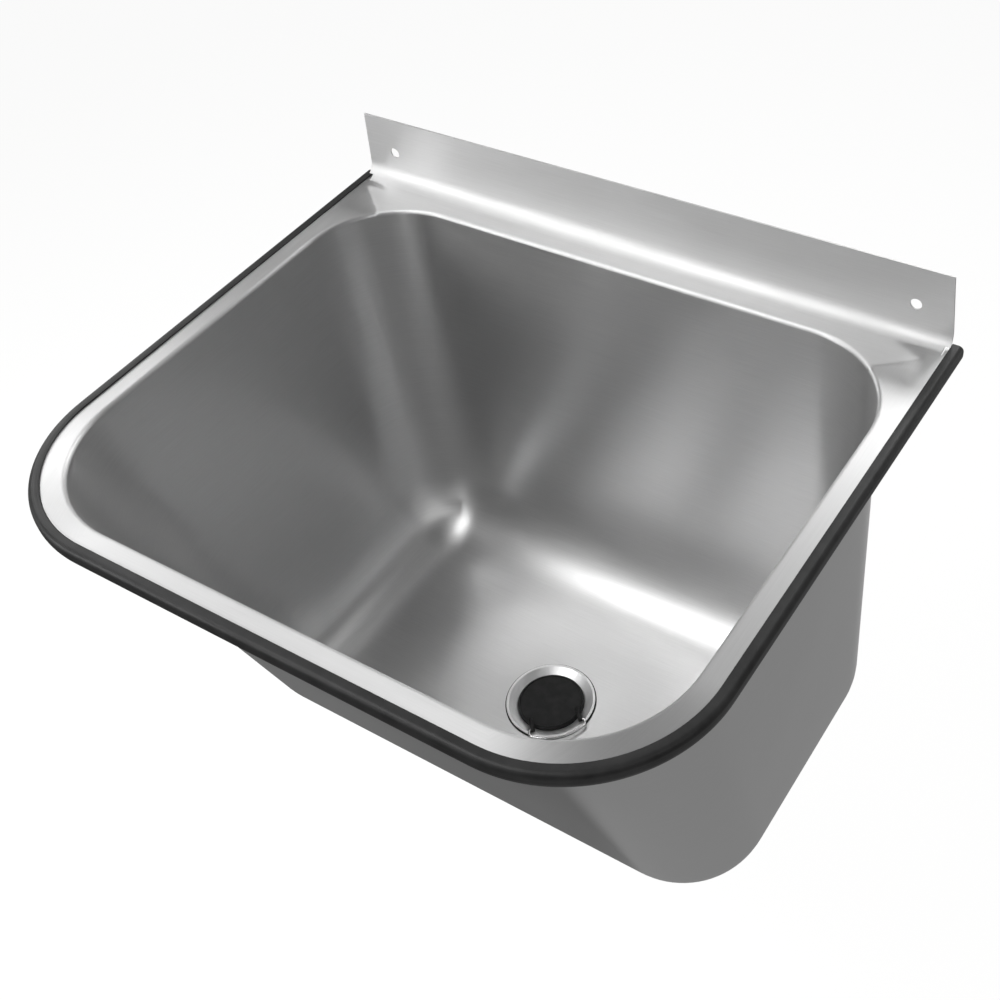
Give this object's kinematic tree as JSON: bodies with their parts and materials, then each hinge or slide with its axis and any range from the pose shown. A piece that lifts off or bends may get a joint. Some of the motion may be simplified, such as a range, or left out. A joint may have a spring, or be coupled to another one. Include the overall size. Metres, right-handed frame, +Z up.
{
  "type": "wall-mounted laundry tub",
  "caption": "Wall-mounted laundry tub: a deep pressed steel bowl with a flat rim, an upstand with wall screw holes, a rubber edge strip and a waste with a lift-out plug.",
  "frame": {"origin": "on the wall face, midway between the two wall screw holes", "axes": "+X to the right seen from the front, +Y into the wall, +Z up"},
  "size_m": [0.5168, 0.4284, 0.473],
  "materials": {
    "bowl_steel": "satin, drawn and brushed",
    "rim_steel": "fine brushed",
    "strip_rubber": "smooth extruded rubber",
    "waste_steel": "polished",
    "seal_rubber": "matt rubber",
    "waste_plastic": "moulded, matt",
    "plug_rubber": "moulded rubber",
    "wire_steel": "drawn wire"
  },
  "bodies": {
    "tub": {"bowl": "bowl_steel", "rim_sheet": "rim_steel", "edge_strip": "strip_rubber", "waste_flange": "waste_steel", "flange_seal": "seal_rubber", "waste_body": "waste_plastic", "body_seal": "seal_rubber", "waste_screw": "waste_steel"},
    "plug": {"plug": "plug_rubber"},
    "bail": {"bail_handle": "wire_steel"}
  },
  "joints": [
    {"name": "plug_lift", "type": "slide", "parent": "tub", "child": "plug", "axis": [0, 0, 1], "range_m": [0, 0.46]},
    {"name": "bail_fold", "type": "hinge", "parent": "plug", "child": "bail", "pos_m": [0.0191, -0.19978, -0.3731], "axis": [-0.7193, -0.6947, 0], "range_deg": [0, 150]}
  ]
}
